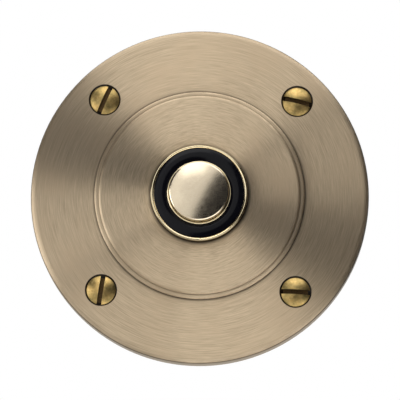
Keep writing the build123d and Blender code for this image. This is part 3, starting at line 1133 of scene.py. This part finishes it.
@dataclass(frozen=True)
class Card:
    """A card or light box, hung on a ball round the part, that the metal mirrors.

    Its place is told from the line along which the flat of the rose mirrors the camera: azimuths run
    clockwise from straight up, as the camera sees it, and off_axis lies away from that line, in degrees.
    A straight card's near edge is that of a flat panel and only its middle comes as near as off_axis says.
    """

    name: str
    azimuths: tuple[float, float]
    off_axis: tuple[float, float]
    colour: str
    strength: float = 1.0
    straight: bool = False

    def place(self, spoke: float, ring: float) -> tuple[float, float]:
        """Gives the place of a point of the card.

        Args:
            spoke: Share of the way from the first azimuth to the last.
            ring: Share of the way from the near edge to the far edge.
        Returns:
            Azimuth and angle off the axis, in degrees.
        """
        first, last = self.azimuths
        near, far = self.off_axis
        azimuth = first + (last - first) * spoke
        if self.straight:
            aside = math.cos(math.radians(azimuth - (first + last) / 2))
            near = min(math.degrees(math.atan2(math.tan(math.radians(near)), aside)), far)
        return azimuth, near + (far - near) * ring


@dataclass
class Studio:
    """Plain pale studio with a camera: white surround, soft light boxes, dark cards and a floor."""

    view_below_degrees: float = 10.4
    view_right_degrees: float = 1.6
    camera_distance: float = 0.7
    lens_mm: float = 280.5
    roll_degrees: float = 0.8
    aim: tuple[float, float, float] = (0.0001, -0.004, -0.0009)
    floor_level: float = -0.5
    floor_size: float = 4.0
    surround_level: float = 0.95
    shown_level: float = 1.0
    card_distance: float = 0.45
    card_steps: int = 24
    cards: tuple[Card, ...] = (
        Card("box_beside", (235, 316), (15, 26), WHITE, 1.25),
        Card("box_near", (316, 374), (15, 26), WHITE, 2.5),
        Card("box_above", (-38, 45), (26, 80), WHITE, 2.6),
        Card("panel_right", (42, 192), (5, 38), DARK_CARD, straight=True),
        Card("card_aside", (50, 120), (38, 112), DARK_CARD),
        Card("card_rim", (8, 50), (84, 112), DARK_CARD),
        Card("box_below", (129, 190), (50, 84), WHITE, 2.5),
        Card("box_left", (245, 281), (48, 90), WHITE, 3.6),
        Card("card_left", (281, 322), (26, 100), "#101114"),
    )

    def build(self) -> None:
        """Makes the whole studio."""
        self.light_up()
        self.lay_floor()
        self.place_camera()
        for card in self.cards:
            self.hang(card)

    def light_up(self) -> None:
        """Sets the white surround."""
        scene = bpy.context.scene
        scene.view_settings.view_transform = "Standard"
        world = bpy.data.worlds.new("white_surround")
        world.use_nodes = True
        scene.world = world
        tree = world.node_tree
        tree.nodes.clear()
        shown = add_node(tree, "ShaderNodeLightPath", output="Is Camera Ray")
        for ray in ("Is Glossy Ray", "Is Transmission Ray"):
            other = add_node(tree, "ShaderNodeLightPath", output=ray)
            shown = add_node(tree, "ShaderNodeMath", {0: shown, 1: other}, operation="MAXIMUM")
        span = {"To Min": self.surround_level, "To Max": self.shown_level}
        level = add_node(tree, "ShaderNodeMapRange", {"Value": shown, **span})
        sky = add_node(tree, "ShaderNodeBackground", {"Color": linear(WHITE), "Strength": level})
        add_node(tree, "ShaderNodeOutputWorld", {"Surface": sky})

    def toward_camera(self) -> Vector:
        """Gives the direction from the part to the camera.

        Returns:
            Unit vector.
        """
        below = math.radians(self.view_below_degrees)
        aside = math.radians(self.view_right_degrees)
        level = math.cos(below)
        return Vector((math.sin(aside) * level, -math.cos(aside) * level, -math.sin(below)))

    def direction(self, azimuth: float, off_axis: float) -> Vector:
        """Gives a direction from the part, told as a card's place is.

        Args:
            azimuth: Degrees clockwise from straight up.
            off_axis: Degrees away from the mirror line.
        Returns:
            Unit vector.
        """
        back = self.toward_camera()
        middle = Vector((-back.x, back.y, -back.z))
        right = Vector((0.0, 0.0, 1.0)).cross(middle).normalized()
        turn = math.radians(azimuth)
        away = math.sin(turn) * right + math.cos(turn) * middle.cross(right)
        lean = math.radians(off_axis)
        return math.cos(lean) * middle + math.sin(lean) * away

    def hang(self, card: Card) -> None:
        """Hangs a card where the metal mirrors it and the camera doesn't see it.

        Args:
            card: The card.
        """
        steps = self.card_steps
        work = bmesh.new()
        rows = []
        for ring in range(steps + 1):
            places = [card.place(spoke / steps, ring / steps) for spoke in range(steps + 1)]
            rows.append([work.verts.new(self.direction(*place) * self.card_distance) for place in places])
        for near, far in zip(rows, rows[1:]):
            for side in range(steps):
                work.faces.new((near[side], near[side + 1], far[side + 1], far[side]))
        mesh = bpy.data.meshes.new(card.name)
        work.to_mesh(mesh)
        work.free()
        material = bpy.data.materials.new(card.name)
        material.use_nodes = True
        tree = material.node_tree
        tree.nodes.clear()
        glow = {"Color": linear(card.colour), "Strength": card.strength}
        face = add_node(tree, "ShaderNodeEmission", glow)
        add_node(tree, "ShaderNodeOutputMaterial", {"Surface": face})
        mesh.materials.append(material)
        sheet = bpy.data.objects.new(card.name, mesh)
        sheet.visible_camera = False
        bpy.context.scene.collection.objects.link(sheet)

    def lay_floor(self) -> None:
        """Lays a pale floor below the part."""
        half = self.floor_size / 2
        work = bmesh.new()
        corners = [(-half, -half), (half, -half), (half, half), (-half, half)]
        work.faces.new([work.verts.new((x, y, self.floor_level)) for x, y in corners])
        mesh = bpy.data.meshes.new("floor")
        work.to_mesh(mesh)
        work.free()
        mesh.materials.append(FLOOR_PAINT.make())
        floor = bpy.data.objects.new("floor", mesh)
        bpy.context.scene.collection.objects.link(floor)

    def place_camera(self) -> None:
        """Puts the camera where the photograph was taken from."""
        lens = bpy.data.cameras.new("camera")
        lens.lens = self.lens_mm
        camera = bpy.data.objects.new("camera", lens)
        back = self.toward_camera()
        camera.location = Vector(self.aim) + back * self.camera_distance
        looking = (-back).to_track_quat("-Z", "Y")
        roll = Euler((0.0, 0.0, math.radians(self.roll_degrees))).to_quaternion()
        camera.rotation_euler = (looking @ roll).to_euler()
        bpy.context.scene.collection.objects.link(camera)
        bpy.context.scene.camera = camera


def main() -> None:
    """Builds the sub-assemblies in order and reports each piece."""
    logging.basicConfig(level=logging.INFO, format="%(name)s: %(message)s")
    palette = Palette(FINISHES)
    for group in (Rose, WoodScrews, PushInsert, Button, Contacts):
        assembly = group(palette)
        assembly.build()
        assembly.dress()
    Studio().build()


if __name__ == "__main__":
    main()
